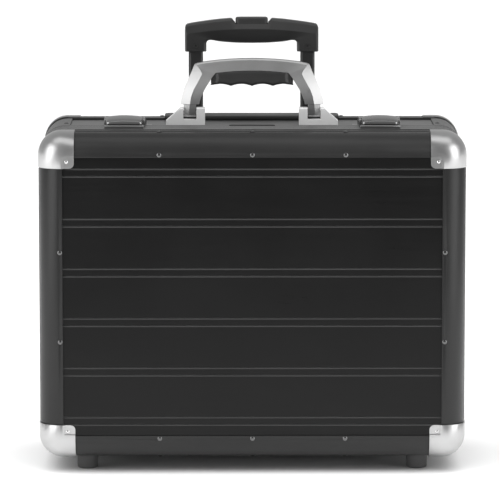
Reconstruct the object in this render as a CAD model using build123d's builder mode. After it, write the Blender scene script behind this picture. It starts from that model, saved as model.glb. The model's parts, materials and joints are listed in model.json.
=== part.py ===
"""Hard shell suitcase on wheels.

A framed case of two shells, a lid at the front and a body behind it, hinged along the bottom of
their seam. The body carries a fold-down carry handle, two draw latches, a trolley handle of three
stages and two wheels. Millimetres, +Z up, the front faces -Y, the floor is at Z = 0, and the
origin is below the middle of the whole suitcase.
"""

import os

from build123d import *

os.makedirs("parts", exist_ok=True)

# ---------------------------------------------------------------- driving dimensions

case_width = 468.0          # over the edge profiles
case_height = 360.0
case_depth = 225.0
ground_gap = 17.0           # floor to the underside of the case
corner_proud = 1.3          # the corner caps stand this far out of the edge profiles
wheel_overhang = 10.0       # the wheels stand this far behind the case

edge_radius = 25.0          # outer rounding of every edge, and of the corners
edge_lip = 26.0             # width of an edge profile on the face
edge_wall = 2.0             # thickness of the edge profiles
edge_inner_radius = 21.5
front_flange = 42.0         # how far the front profile reaches along the side walls
rear_flange = 47.0
bead_start, bead_end, bead_height, bead_slope = 27.0, 33.0, 0.8, 1.2

seam_depth = 80.0           # lid and body meet this far behind the front
seam_gap = 0.6
rim_lid = 26.5              # width of the closing rim on each side of the seam
rim_body = 20.0
side_thickness = 2.0        # side walls, behind the flanges of the profiles
side_outset = 2.1           # side wall's outer face below the case's outer face
post_leg = 5.7              # the corner posts run this far past the corner's rounding
guard_outset, guard_end = 0.3, 177.8        # raised outer face of the body's corner posts
guard_rivet_depth, guard_rivet_inset = 122.0, 26.0
ridge_shares = (0.28, 0.5, 0.72)            # grooves across each rim
ridge_width, ridge_depth = 1.2, 0.5

panel_thickness = 2.0
panel_seat = 20.0           # the panels reach this close to the outer walls
panel_corner = 4.0
groove_pitch = 55.0
groove_pairs = 6
groove_spacing = 8.3        # between the two grooves of a pair
groove_width, groove_depth = 1.3, 0.7

corner_leg_x, corner_leg_z = 39.0, 38.0     # corner caps, on the faces
corner_leg_front, corner_leg_rear = 38.0, 40.0
corner_gap = 0.05
cap_skin = corner_proud - corner_gap
cap_rounding = 5.5          # inner corner of a cap
tab_inset = 27.3            # the riveted tab of a cap lies this far from the outer walls
tab_floor = edge_wall - corner_gap
tab_margin = 3.2            # from the tab's root to its rivet

rivet_inset = 23.0          # edge profile rivets, from the outer walls
rivet_spacing_x, rivet_spacing_z = 102.0, 99.0
rivet_radius, rivet_height, shank_radius = 2.8, 1.0, 1.5
tab_rivet_radius, tab_rivet_height = 2.2, 0.9
rivet_grip, tab_rivet_grip = 3.8, 3.0
flange_rivet_depth = 23.5
shank_clearance = 0.1
cut_depth = 6.0             # cuts made right through the sheet work

hinge_length = 320.0
knuckle_count = 16
knuckle_radius, knuckle_gap = 2.4, 0.3
hinge_drop = 2.6            # hinge axis below the case
pin_radius, running_gap = 1.0, 0.05
leaf_width, leaf_thickness = 12.0, 0.9

foot_x, foot_depth = 183.0, 45.0
foot_radius, foot_taper, foot_rounding = 11.8, 1.6, 2.2

wheel_x, wheel_radius, wheel_width = 166.0, 25.0, 24.0
wheel_depth = case_depth + wheel_overhang - wheel_radius
housing_width, housing_height, housing_start = 38.0, 42.0, 178.0
housing_wall, housing_proud, housing_flange, housing_gap = 4.0, 1.5, 4.0, 0.2
hub_radius, hub_rim = 16.0, 3.2
hub_web, hub_boss = 7.0, 4.5
hub_hole_count, hub_hole_radius = 6, 2.4
tyre_rounding = 3.6
axle_radius = 3.0

latch_x, latch_width = 141.6, 45.4
latch_start, latch_end = 57.5, 108.0
latch_pivot_depth, latch_pivot_rise = 103.5, 4.9
latch_pin_radius = 1.2
base_thickness = 1.5
ear_thickness, ear_height, ear_rounding = 2.3, 9.0, 3.9
lever_gap = 0.35
keeper_depth, keeper_height, keeper_plate, keeper_thickness = 8.5, 3.7, 21.0, 0.9
lever_rise, lever_side_rise = 12.4, 9.2     # crowned lever above the case, middle and ends
lever_eye = 2.9             # lever's radius about its pivot
slider_travel, slider_width, slider_height, slider_depth = 4.0, 6.2, 6.6, 7.0
slider_inset = 2.2          # from the latch's inner end to the slider's middle
slider_bed = (18.0, 8.0)    # plate under the slider, behind the latch

mount_inner, mount_outer = 52.4, 96.0       # handle mounts, from the middle
slot_inner, slot_outer = 62.0, 76.6
mount_front, mount_back = 100.2, 113.0      # depths
pivot_depth, pivot_rise = 106.6, 13.8
pivot_radius = 2.0
mount_height, mount_shoulder, mount_rounding = 19.3, 2.6, 1.8
mount_outer_height = 4.6
mount_slot_rise = 6.0
handle_pin_half = 14.0
handle_thickness, handle_grip_thickness = 12.0, 14.0
tongue_inner, tongue_outer, tongue_radius = 62.7, 76.2, 5.4

plate_front_half, plate_back_half = 25.6, 22.4     # small plate between the handle's mounts
plate_start, plate_end, plate_thickness = 91.0, 103.0, 0.9

trolley_depth = 187.0
tube_x = 63.3
inner_tube = (16.2, 20.0)
mid_tube = (19.2, 23.0)
outer_tube = (22.4, 26.2)
tube_wall_inner, tube_wall_mid, tube_wall_outer = 1.2, 1.2, 1.3
bezel_half_width = 98.8
bezel_start, bezel_end, bezel_rise = 170.0, 204.0, 3.6
throat_depth = 10.0
throat_gap = 0.3            # around the middle tubes and around the bezel's throat
throat_width = 2 * bezel_half_width - 9.0
throat_length = bezel_end - bezel_start - 6.0
grip_depth = 25.0
grip_top, grip_ends, grip_foot = 113.7, 106.0, 75.7     # trolley grip, above the case
grip_outer, grip_inner, grip_bow = 75.6, 51.3, 375
socket_depth = 19.0         # the inner tubes reach this far into the grip
grip_underside, grip_underside_quarter, grip_underside_end = 85.2, 86.8, 87.6
notch_outer, notch_inner, notch_depth = 22.3, 19.2, 4.6     # dip around the button
button_half_width, button_half_depth, button_travel = 18.4, 9.0, 4.0
button_height, button_proud, button_gap = 11.4, 0.6, 0.4
grip_screw_rise, grip_screw_radius, screw_head, screw_sunk = 82.0, 2.4, 0.9, 1.2
bracket_length, bracket_height = 170.0, 7.8

lining_thickness, lining_gap = 2.5, 1.2
lid_lining_inset, lining_corner = 13.5, 18.0
body_lining_inset, divider_corner = 4.4, 20.6
divider_depth = 164.0       # lining board that hides the trolley's tubes

# ---------------------------------------------------------------- places worked out from them

half_width = case_width / 2
bottom = ground_gap
top = bottom + case_height
middle = (bottom + top) / 2
overall_depth = corner_proud + case_depth + wheel_overhang
front = corner_proud - overall_depth / 2
rear = front + case_depth
seam = front + seam_depth
inwards = {
    "top": Vector(0, 0, -1),
    "bottom": Vector(0, 0, 1),
    "left": Vector(1, 0, 0),
    "right": Vector(-1, 0, 0),
}
side_length = {"top": case_width, "bottom": case_width, "left": case_height, "right": case_height}
tab_rivet_x = half_width - tab_inset - tab_margin
tab_rivet_z = case_height / 2 - tab_inset - tab_margin
tab_face = tab_floor - cap_skin
LOW = (Align.MIN, Align.MIN)
MID_LOW = (Align.CENTER, Align.MIN)


def save(piece, name):
    """Label a finished piece and write it as its own STEP file."""
    piece.part.label = name
    export_step(piece.part, f"parts/{name}.step")


def side_plane(side, depth, into=1):
    """Section plane at the middle of one side: x runs inwards from the outer wall, y into the case."""
    inward = inwards[side]
    reach = case_height / 2 if side in ("top", "bottom") else half_width
    origin = Vector(0, front + depth, middle) - inward * reach
    return Plane(origin=origin, x_dir=inward, z_dir=inward.cross(Vector(0, into, 0)))


# ---------------------------------------------------------------- rivets

def face_plane(x, z, face_y, facing):
    """A plane on the front or rear face, looking out of it."""
    return Plane(origin=(x, face_y, z), x_dir=(1, 0, 0), z_dir=(0, facing, 0))


def profile_rivet_sites(face_y, facing, flange_columns):
    """Rivets of one shell's edge profiles: on its face, and on its top and underside flanges."""
    sites = [face_plane(x, z, face_y, facing)
             for x in rivet_columns for z in (bottom + rivet_inset, top - rivet_inset)]
    sites += [face_plane(side * (half_width - rivet_inset), middle + level * rivet_spacing_z / 2,
                         face_y, facing)
              for side in (-1, 1) for level in (-1, 1)]
    flange_y = face_y - facing * flange_rivet_depth
    sites += [Plane(origin=(x, flange_y, z), x_dir=(1, 0, 0), z_dir=(0, 0, z - middle))
              for x in flange_columns for z in (bottom, top)]
    return sites


def corner_rivet_sites(face_y, facing):
    """One rivet in the tab of each corner cap."""
    return [face_plane(side * tab_rivet_x, middle + level * tab_rivet_z, face_y, facing)
            for side in (-1, 1) for level in (-1, 1)]


def rivet_group(sites, grip=rivet_grip, head=rivet_radius, rise=rivet_height):
    """Domed rivets, one at each site: a head on the surface and a shank through the work."""
    with BuildPart() as one:
        with BuildSketch(Plane.XZ):
            Rectangle(shank_radius, grip, align=(Align.MIN, Align.MAX))
            with BuildLine():
                Line((0, 0), (0, rise))
                ThreePointArc((0, rise), (head * 0.72, rise * 0.62), (head, 0))
                Line((head, 0), (0, 0))
            make_face()
        revolve(axis=Axis.Z)
    with BuildPart() as group:
        with Locations(*sites):
            add(one.part)
    return group


def rivet_holes(sites):
    """Clearance holes for rivet shanks, cut from the part being built."""
    for site in sites:
        with BuildSketch(site) as hole:
            Circle(shank_radius + shank_clearance)
        extrude(hole.sketch, amount=-cut_depth, mode=Mode.SUBTRACT)


rivet_columns = (-rivet_spacing_x, 0.0, rivet_spacing_x)
guard_rivets = [Plane(origin=(side * (half_width - guard_rivet_inset), front + guard_rivet_depth,
                              middle + level * (case_height / 2 - guard_outset)),
                      x_dir=(1, 0, 0), z_dir=(0, 0, level))
                for side in (-1, 1) for level in (-1, 1)]
front_rivets = profile_rivet_sites(front, -1, rivet_columns)
rear_rivets = profile_rivet_sites(rear, 1, rivet_columns[::2])
front_tab_rivets = corner_rivet_sites(front + tab_face, -1)
rear_tab_rivets = corner_rivet_sites(rear - tab_face, 1)

# ---------------------------------------------------------------- panels


def grooved_panel(face_depth, into, rivets, tabs, notches=()):
    """A ribbed face panel; its outer face lies one profile thickness below the lips."""
    width = case_width - 2 * panel_seat
    height = case_height - 2 * panel_seat
    face = Plane(origin=(0, front + face_depth + into * edge_wall, middle), x_dir=(1, 0, 0),
                 z_dir=(0, -into, 0))
    with BuildPart() as panel:
        with BuildSketch(face):
            Rectangle(width, height)
        extrude(amount=-panel_thickness)
        fillet(panel.edges().filter_by(Axis.Y), radius=panel_corner)
        levels = [pitch + line
                  for pitch in (groove_pitch * (i - (groove_pairs - 1) / 2) for i in range(groove_pairs))
                  for line in (-groove_spacing / 2, groove_spacing / 2)]
        across = Plane(origin=(0, face.origin.Y, middle), x_dir=(0, into, 0), z_dir=(1, 0, 0))
        for level in levels:
            up = level * across.y_dir.Z
            with BuildSketch(across):
                Polygon((0, up - groove_width / 2), (groove_depth, up), (0, up + groove_width / 2),
                        align=None)
            extrude(amount=width, both=True, mode=Mode.SUBTRACT)
        rivet_holes(rivets)
        rivet_holes(tabs)
        for notch in notches:
            add(notch, mode=Mode.SUBTRACT)
    return panel


# ---------------------------------------------------------------- edge profiles


def edge_profile(side, face_depth, into, flange, rivets, bead=False, cuts=()):
    """Quarter-round profile along one side: lip on the face, round nose, flange on the wall."""
    plane = side_plane(side, face_depth, into)
    reach = side_length[side] / 2 - edge_lip
    with BuildPart() as profile:
        with BuildSketch(plane) as section:
            Rectangle(edge_lip, flange, align=LOW)
            fillet(section.vertices().sort_by_distance((0, 0))[0], edge_radius)
        extrude(amount=reach, both=True)
        with BuildSketch(plane) as hollow:
            with Locations((edge_wall, edge_wall)):
                Rectangle(edge_lip, flange, align=LOW)
            fillet(hollow.vertices().sort_by_distance((edge_wall, edge_wall))[0], edge_inner_radius)
            with Locations((panel_seat, edge_wall)):
                Rectangle(edge_lip, panel_thickness, align=LOW)
        extrude(amount=reach, both=True, mode=Mode.SUBTRACT)
        if bead:
            with BuildSketch(plane):
                Polygon((edge_wall / 4, bead_start), (0, bead_start),
                        (-bead_height, bead_start + bead_slope), (-bead_height, bead_end - bead_slope),
                        (0, bead_end), (edge_wall / 4, bead_end), align=None)
            extrude(amount=side_length[side] / 2 - corner_leg_x - 1, both=True)
        rivet_holes(rivets)
        for cut in cuts:
            add(cut, mode=Mode.SUBTRACT)
    return profile


# ---------------------------------------------------------------- side walls


def side_section(plane, start, end, rim_start, rim_end, guard=False):
    """Wall section: a thin wall from start to end with a thicker, ridged rim out to the case face.
    A guard thickens the wall behind the rim almost to the case face."""
    inner = side_outset + side_thickness
    with BuildSketch(plane) as section:
        with Locations((side_outset, start)):
            Rectangle(side_thickness, end - start, align=LOW)
        if guard:
            with Locations((guard_outset, rim_start)):
                Rectangle(inner - guard_outset, guard_end - rim_start, align=LOW)
        with Locations((0, rim_start)):
            Rectangle(inner, rim_end - rim_start, align=LOW)
        for share in ridge_shares:
            with Locations((0, rim_start + (rim_end - rim_start) * share)):
                Rectangle(ridge_depth, ridge_width, align=(Align.MIN, Align.CENTER), mode=Mode.SUBTRACT)
    return section


def side_wall(side, lid, rivets, cuts=()):
    """Straight wall of the lid or of the body along one side."""
    with BuildPart() as wall:
        section = side_section(side_plane(side, 0), *(lid_wall if lid else body_wall))
        extrude(section.sketch, amount=side_length[side] / 2 - edge_radius - post_leg, both=True)
        rivet_holes(rivets)
        for cut in cuts:
            add(cut, mode=Mode.SUBTRACT)
    return wall


def corner_posts(lid):
    """The four rounded posts that join a shell's side walls: a quarter turn with two short legs."""
    with BuildPart() as posts:
        for x_sign in (-1, 1):
            for z_sign in (-1, 1):
                centre = Vector(x_sign * (half_width - edge_radius), front,
                                middle + z_sign * (case_height / 2 - edge_radius))
                upright = Plane(origin=centre + Vector(x_sign * edge_radius, 0, 0),
                                x_dir=(-x_sign, 0, 0), z_dir=(0, 0, -x_sign))
                level = Plane(origin=centre + Vector(0, 0, z_sign * edge_radius),
                              x_dir=(0, 0, -z_sign), z_dir=(z_sign, 0, 0))
                wall = lid_wall if lid else body_wall
                section = side_section(upright, *wall, guard=not lid)
                revolve(section.sketch, axis=Axis(centre, (0, -x_sign * z_sign, 0)), revolution_arc=90)
                extrude(section.sketch, amount=post_leg * x_sign * z_sign)
                section = side_section(level, *wall, guard=not lid)
                extrude(section.sketch, amount=-post_leg * x_sign * z_sign)
        if not lid:
            rivet_holes(guard_rivets)
    return posts


lid_wall = (edge_inner_radius + edge_wall, seam_depth - seam_gap / 2,
            seam_depth - rim_lid, seam_depth - seam_gap / 2)
body_wall = (seam_depth + seam_gap / 2, case_depth - edge_inner_radius - edge_wall,
             seam_depth + seam_gap / 2, seam_depth + rim_body)

# ---------------------------------------------------------------- corner caps


def rounded_case(grow):
    """The case's outer form with all its edges rounded, grown by an even skin."""
    with BuildPart(Plane(origin=(0, (front + rear) / 2, middle))) as form:
        Box(case_width + 2 * grow, case_depth + 2 * grow, case_height + 2 * grow)
        fillet(form.edges(), edge_radius + grow)
    return form.part


def cap_patch(depth, width, height):
    """Sketch on a plane at one depth: a patch from the cap's inner corner, which is rounded."""
    x, z = half_width - corner_leg_x, top - corner_leg_z
    with BuildSketch(Plane.XZ.offset(-(front + depth))) as patch:
        with Locations((x, z)):
            Rectangle(width, height, align=LOW)
        fillet(patch.vertices().sort_by_distance((x, z))[0], cap_rounding)
    return patch


def corner_cap(leg):
    """Pressed cap over the top right corner of the front: ball corner, three legs, riveted tab."""
    tab_width, tab_height = corner_leg_x - tab_inset, corner_leg_z - tab_inset
    with BuildPart() as cap:
        window = cap_patch(-corner_proud, corner_leg_x + 5, corner_leg_z + 5)
        extrude(window.sketch, amount=-(leg + corner_proud))
        add(outer_case, mode=Mode.INTERSECT)
        add(inner_case, mode=Mode.SUBTRACT)
        # inside the lips of the profiles the skin steps down to a tab that lies on the panel
        step = cap_patch(tab_floor, tab_width + cap_skin, tab_height + cap_skin)
        extrude(step.sketch, amount=tab_floor + corner_proud)
        tab = cap_patch(tab_face, tab_width, tab_height)
        extrude(tab.sketch, amount=tab_floor + corner_proud, mode=Mode.SUBTRACT)
        rivet_holes([face_plane(tab_rivet_x, middle + tab_rivet_z, front, -1)])
    return cap.part


def cap_set(cap, in_front):
    """A cap mirrored to the four corners of one face."""
    with BuildPart() as caps:
        add(cap)
        if not in_front:
            mirror(about=Plane.XZ.offset(-(front + rear) / 2), mode=Mode.REPLACE)
        mirror(about=Plane.YZ)
        mirror(about=Plane.XY.offset(middle))
    return caps


# ---------------------------------------------------------------- hinge


def knuckle_span(index):
    """Start and end of one knuckle along the hinge."""
    pitch = hinge_length / knuckle_count
    start = -hinge_length / 2 + index * pitch
    return start + knuckle_gap / 2, start + pitch - knuckle_gap / 2


def hinge_leaf(first, into):
    """One leaf of the piano hinge: a strip on the underside and every other knuckle on the seam."""
    axis_z = bottom - hinge_drop
    with BuildPart() as leaf:
        with BuildSketch(Plane.XY.offset(bottom)):
            with Locations((0, seam + into * (knuckle_radius + knuckle_gap))):
                Rectangle(hinge_length, leaf_width,
                          align=(Align.CENTER, Align.MIN if into > 0 else Align.MAX))
        extrude(amount=-leaf_thickness)
        for index in range(first, knuckle_count, 2):
            start, end = knuckle_span(index)
            with BuildSketch(Plane.YZ.offset(start)):
                with Locations((seam, axis_z)):
                    Circle(knuckle_radius)
                with Locations((seam, bottom - seam_gap / 4)):
                    Rectangle(knuckle_radius + 1, leaf_thickness - seam_gap / 4,
                              align=(Align.MIN if into > 0 else Align.MAX, Align.MAX))
            extrude(amount=end - start)
        with BuildSketch(Plane.YZ.offset(-hinge_length / 2)):
            with Locations((seam, axis_z)):
                Circle(pin_radius + running_gap)
        extrude(amount=hinge_length, mode=Mode.SUBTRACT)
    return leaf


# ---------------------------------------------------------------- shells

outer_case = rounded_case(corner_proud)
inner_case = rounded_case(corner_gap)

# housings of the wheels, cut out of the panel, the profiles and the walls around them
with BuildPart() as housing_room:
    for side in (-1, 1):
        with BuildSketch(Plane.XY.offset(bottom - cut_depth)):
            with Locations((side * wheel_x, front + housing_start - housing_gap)):
                Rectangle(housing_width + 2 * housing_gap, case_depth, align=MID_LOW)
        extrude(amount=housing_height + cut_depth + housing_gap)

# the trolley bezel's throat, cut out of the top
with BuildPart() as bezel_room:
    with BuildSketch(Plane.XY.offset(top - edge_radius)):
        with Locations((0, front + (bezel_start + bezel_end) / 2)):
            Rectangle(throat_width, throat_length)
    extrude(amount=40)

save(grooved_panel(0, 1, front_rivets, front_tab_rivets), "front_panel")
save(grooved_panel(case_depth, -1, rear_rivets, rear_tab_rivets, [housing_room.part]), "rear_panel")

for side in inwards:
    save(edge_profile(side, 0, 1, front_flange, front_rivets, bead=True), f"front_edge_{side}")
    cuts = {"bottom": [housing_room.part], "top": [bezel_room.part]}.get(side, [])
    save(edge_profile(side, case_depth, -1, rear_flange, rear_rivets, cuts=cuts), f"rear_edge_{side}")
    save(side_wall(side, True, front_rivets), f"lid_side_{side}")
    save(side_wall(side, False, rear_rivets, cuts), f"body_side_{side}")
save(corner_posts(True), "lid_side_corners")
save(corner_posts(False), "body_side_corners")
save(cap_set(corner_cap(corner_leg_front), True), "front_corners")
save(cap_set(corner_cap(corner_leg_rear), False), "rear_corners")
save(rivet_group(front_rivets), "lid_rivets")
save(rivet_group(rear_rivets + guard_rivets), "body_rivets")
tab_rivet = (tab_rivet_grip, tab_rivet_radius, tab_rivet_height)
save(rivet_group(front_tab_rivets, *tab_rivet), "lid_corner_rivets")
save(rivet_group(rear_tab_rivets, *tab_rivet), "body_corner_rivets")

save(hinge_leaf(0, -1), "hinge_leaf_lid")
save(hinge_leaf(1, 1), "hinge_leaf_body")

# ---------------------------------------------------------------- linings

with BuildPart() as lid_lining:
    with BuildSketch(Plane.XZ.offset(-(front + edge_wall + panel_thickness + lining_gap))):
        with Locations((0, middle)):
            RectangleRounded(case_width - 2 * lid_lining_inset, case_height - 2 * lid_lining_inset,
                             lining_corner)
    extrude(amount=-lining_thickness)
save(lid_lining, "lid_lining")

with BuildPart() as body_lining:
    with BuildSketch(Plane.XZ.offset(-(front + divider_depth))):
        with Locations((0, middle)):
            RectangleRounded(case_width - 2 * body_lining_inset, case_height - 2 * body_lining_inset,
                             divider_corner)
    extrude(amount=-lining_thickness)
save(body_lining, "body_lining")

# ---------------------------------------------------------------- feet

with BuildPart() as feet:
    for side in (-1, 1):
        with BuildSketch(Plane.XY.offset(bottom)):
            with Locations((side * foot_x, front + foot_depth)):
                Circle(foot_radius)
        extrude(amount=-ground_gap, taper=foot_taper)
    fillet(feet.edges().group_by(Axis.Z)[0], foot_rounding)
save(feet, "feet")

# ---------------------------------------------------------------- hinge pin

with BuildPart() as hinge_pin:
    with BuildSketch(Plane.YZ.offset(-hinge_length / 2 + 1)):
        with Locations((seam, bottom - hinge_drop)):
            Circle(pin_radius)
    extrude(amount=hinge_length - 2)
save(hinge_pin, "hinge_pin")

# ---------------------------------------------------------------- wheels

axle_y, axle_z = front + wheel_depth, wheel_radius

with BuildPart() as wheel_housings:
    for side in (-1, 1):
        left = side * wheel_x - housing_width / 2
        # the flange: a thin skin over the profiles and the panel, all round the housing
        with BuildSketch(Plane.YZ.offset(left - housing_flange)) as flange:
            with Locations((front + housing_start - housing_flange, bottom - housing_proud)):
                Rectangle(case_depth + housing_proud - housing_start + housing_flange,
                          housing_height + housing_proud + housing_flange, align=LOW)
            fillet(flange.vertices().sort_by_distance((rear, bottom))[0], edge_radius + housing_proud)
        extrude(amount=housing_width + 2 * housing_flange)
        with BuildSketch(Plane.YZ.offset(left - housing_flange)) as inside:
            with Locations((front, bottom - corner_gap)):
                Rectangle(case_depth + corner_gap, edge_lip + 2 * corner_gap, align=LOW)
            fillet(inside.vertices().sort_by_distance((rear, bottom))[0], edge_radius + corner_gap)
            with Locations((front, bottom + edge_lip)):
                Rectangle(case_depth - edge_wall + corner_gap, case_height, align=LOW)
        extrude(amount=housing_width + 2 * housing_flange, mode=Mode.SUBTRACT)
        # the box around the wheel
        with BuildSketch(Plane.YZ.offset(left)) as shell:
            with Locations((front + housing_start, bottom - housing_proud)):
                Rectangle(case_depth + housing_proud - housing_start, housing_height + housing_proud,
                          align=LOW)
            fillet(shell.vertices().sort_by_distance((rear, bottom))[0], edge_radius + housing_proud)
        extrude(amount=housing_width)
        with BuildSketch(Plane.YZ.offset(left + housing_wall)):
            with Locations((front + housing_start + housing_wall, 0)):
                Rectangle(case_depth, bottom + housing_height - housing_wall, align=LOW)
        extrude(amount=housing_width - 2 * housing_wall, mode=Mode.SUBTRACT)
        with BuildSketch(Plane.YZ.offset(left - 1)):
            with Locations((axle_y, axle_z)):
                Circle(axle_radius + running_gap / 2)
        extrude(amount=housing_width + 2, mode=Mode.SUBTRACT)
save(wheel_housings, "wheel_housings")

with BuildPart() as wheel_axles:
    for side in (-1, 1):
        with BuildSketch(Plane.YZ.offset(side * wheel_x - housing_width / 2 + 0.5)):
            with Locations((axle_y, axle_z)):
                Circle(axle_radius)
        extrude(amount=housing_width - 1)
save(wheel_axles, "wheel_axles")

for name, side in (("left", -1), ("right", 1)):
    axle = Axis((0, axle_y, axle_z), (1, 0, 0))
    centre = Plane(origin=(side * wheel_x, axle_y, axle_z), x_dir=(1, 0, 0), z_dir=(0, 0, 1))
    with BuildPart() as tyre:
        with BuildSketch(centre):
            with Locations((0, (hub_radius + wheel_radius) / 2)):
                RectangleRounded(wheel_width, wheel_radius - hub_radius, tyre_rounding)
        revolve(axis=axle)
        with BuildSketch(Plane.YZ.offset(side * wheel_x - wheel_width)):
            with Locations((axle_y, axle_z)):
                Circle(hub_radius + 1)
        extrude(amount=2 * wheel_width, mode=Mode.SUBTRACT)
    save(tyre, f"tyre_{name}")
    with BuildPart() as hub:
        with BuildSketch(centre):
            with Locations((0, hub_radius + 1 - running_gap)):
                Rectangle(wheel_width - 4, hub_rim, align=(Align.CENTER, Align.MAX))
            with Locations((0, axle_radius + running_gap)):
                Rectangle(wheel_width - 2, hub_boss, align=MID_LOW)
                Rectangle(hub_web, hub_radius - axle_radius - 1, align=MID_LOW)
        revolve(axis=axle)
        with BuildSketch(Plane.YZ.offset(side * wheel_x - wheel_width)):
            with Locations((axle_y, axle_z)):
                with PolarLocations((axle_radius + hub_boss + hub_radius - hub_rim) / 2 + 0.75,
                                    hub_hole_count):
                    Circle(hub_hole_radius)
        extrude(amount=2 * wheel_width, mode=Mode.SUBTRACT)
    save(hub, f"hub_{name}")

# ---------------------------------------------------------------- latches

pin_y, pin_z = front + latch_pivot_depth, top + latch_pivot_rise
lever_half = latch_width / 2 - ear_thickness - lever_gap

with BuildPart() as latch_bases:
    for side in (-1, 1):
        with BuildSketch(Plane.XY.offset(top)):
            with Locations((side * latch_x, front + latch_end)):
                Rectangle(latch_width, latch_end - seam_depth - seam_gap / 2 - 0.1,
                          align=(Align.CENTER, Align.MAX))
        extrude(amount=base_thickness)
        with BuildSketch(Plane.XY.offset(top - side_outset)):
            with Locations((side * (latch_x - latch_width / 2 + slider_inset), front + latch_end)):
                Rectangle(*slider_bed, align=MID_LOW)
        extrude(amount=base_thickness)
        with BuildSketch(Plane.XY.offset(top - side_outset)):
            with Locations((side * latch_x, front + seam_depth + rim_body + 0.1)):
                Rectangle(latch_width, latch_end - seam_depth - rim_body - 0.1, align=MID_LOW)
        extrude(amount=side_outset)
        for end in (-1, 1):
            inner_x = side * latch_x + end * (latch_width - ear_thickness) / 2
            with BuildSketch(Plane.YZ.offset(inner_x)) as ear:
                with Locations((front + latch_end, top)):
                    Rectangle(latch_end - seam_depth - 2, ear_height, align=(Align.MAX, Align.MIN))
                fillet(ear.vertices().group_by(Axis.Y)[-1], ear_rounding)
            extrude(amount=ear_thickness / 2, both=True)
    with BuildSketch(Plane.YZ.offset(-half_width)):
        with Locations((pin_y, pin_z)):
            Circle(latch_pin_radius + running_gap / 2)
    extrude(amount=case_width, mode=Mode.SUBTRACT)
save(latch_bases, "latch_bases")

with BuildPart() as latch_pins:
    for side in (-1, 1):
        with BuildSketch(Plane.YZ.offset(side * latch_x - latch_width / 2 + 0.2)):
            with Locations((pin_y, pin_z)):
                Circle(latch_pin_radius)
        extrude(amount=latch_width - 0.4)
save(latch_pins, "latch_pins")

with BuildPart() as latch_keepers:
    for side in (-1, 1):
        with BuildSketch(Plane.YZ.offset(side * latch_x - latch_width / 2 + 0.8)) as keeper:
            with Locations((front + latch_start, top)):
                Rectangle(keeper_depth, keeper_height, align=LOW)
            fillet(keeper.vertices().group_by(Axis.Y)[-1], 1.4)
            with Locations((front + latch_start, top)):
                Rectangle(keeper_plate, keeper_thickness, align=LOW)
        extrude(amount=latch_width - 1.6)
save(latch_keepers, "latch_keepers")

for name, side in (("left", -1), ("right", 1)):
    with BuildPart() as lever:
        # profile: nose over the keeper, low crown, eye round the pin
        nose_y, crown_y, heel_y = front + latch_start + 4, front + 77, front + 92
        with BuildSketch(Plane.YZ.offset(side * latch_x - lever_half)):
            with BuildLine():
                nose = Line((nose_y, top + 4.1), (nose_y, top + 6))
                ThreePointArc(nose @ 1, (crown_y, top + lever_rise), (heel_y, top + lever_rise - 0.5))
                Polyline((heel_y, top + lever_rise - 0.5), (pin_y, pin_z + lever_eye + 0.1),
                         (pin_y, pin_z + lever_eye))
                ThreePointArc((pin_y, pin_z + lever_eye), (pin_y + lever_eye, pin_z),
                              (pin_y, pin_z - lever_eye))
                Polyline((pin_y, pin_z - lever_eye), (nose_y + 8.5, top + 2.2),
                         (nose_y + 7.5, top + 4.1), nose @ 0)
            make_face()
        extrude(amount=2 * lever_half)
        crown = Plane(origin=(side * latch_x, front + latch_start, top), x_dir=(1, 0, 0), z_dir=(0, -1, 0))
        end = lever_half + 1
        with BuildSketch(crown):
            with BuildLine():
                ThreePointArc((-end, lever_side_rise), (0, lever_rise), (end, lever_side_rise))
                Polyline((end, lever_side_rise), (end, -3), (-end, -3), (-end, lever_side_rise))
            make_face()
        extrude(amount=-latch_end, mode=Mode.INTERSECT)
        with BuildSketch(Plane.YZ.offset(side * latch_x - lever_half)):
            with Locations((pin_y, pin_z)):
                Circle(latch_pin_radius + running_gap)
        extrude(amount=2 * lever_half, mode=Mode.SUBTRACT)
    save(lever, f"latch_lever_{name}")
    with BuildPart() as slider:
        with BuildSketch(Plane.XZ.offset(-(front + latch_end + slider_depth + lever_gap))) as thumb:
            with Locations((side * (latch_x - latch_width / 2 + slider_inset),
                            top - side_outset + base_thickness + lever_gap)):
                Rectangle(slider_width, slider_height, align=MID_LOW)
            fillet(thumb.vertices().group_by(Axis.Y)[-1], slider_width / 2 - 0.1)
        extrude(amount=slider_depth)
    save(slider, f"latch_slider_{name}")

# ---------------------------------------------------------------- carry handle

hinge_y, hinge_z = front + pivot_depth, top + pivot_rise

for name, side in (("left", -1), ("right", 1)):
    with BuildPart() as mount:
        with BuildSketch(Plane.XZ.offset(-(front + mount_front))):
            Polygon((side * mount_inner, top - side_outset), (side * mount_inner, top + mount_height),
                    (side * slot_inner, top + mount_height), (side * slot_inner, top + mount_slot_rise),
                    (side * slot_outer, top + mount_slot_rise), (side * slot_outer, top + mount_height),
                    (side * (slot_outer + mount_shoulder), top + mount_height),
                    (side * mount_outer, top + mount_outer_height),
                    (side * mount_outer, top - side_outset), align=None)
        extrude(amount=-(mount_back - mount_front))
        fillet(mount.edges().filter_by(Axis.X).filter_by_position(Axis.Z, top + mount_height - 1,
                                                                  top + mount_height + 1), mount_rounding)
        with BuildSketch(Plane.YZ.offset(side * mount_inner - 60)):
            with Locations((hinge_y, hinge_z)):
                Circle(pivot_radius + running_gap / 2)
        extrude(amount=120, mode=Mode.SUBTRACT)
    save(mount, f"handle_mount_{name}")

with BuildPart() as handle_pins:
    for side in (-1, 1):
        with BuildSketch(Plane.YZ.offset(side * (slot_inner + slot_outer) / 2)):
            with Locations((hinge_y, hinge_z)):
                Circle(pivot_radius)
        extrude(amount=handle_pin_half, both=True)
save(handle_pins, "handle_pins")

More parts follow.
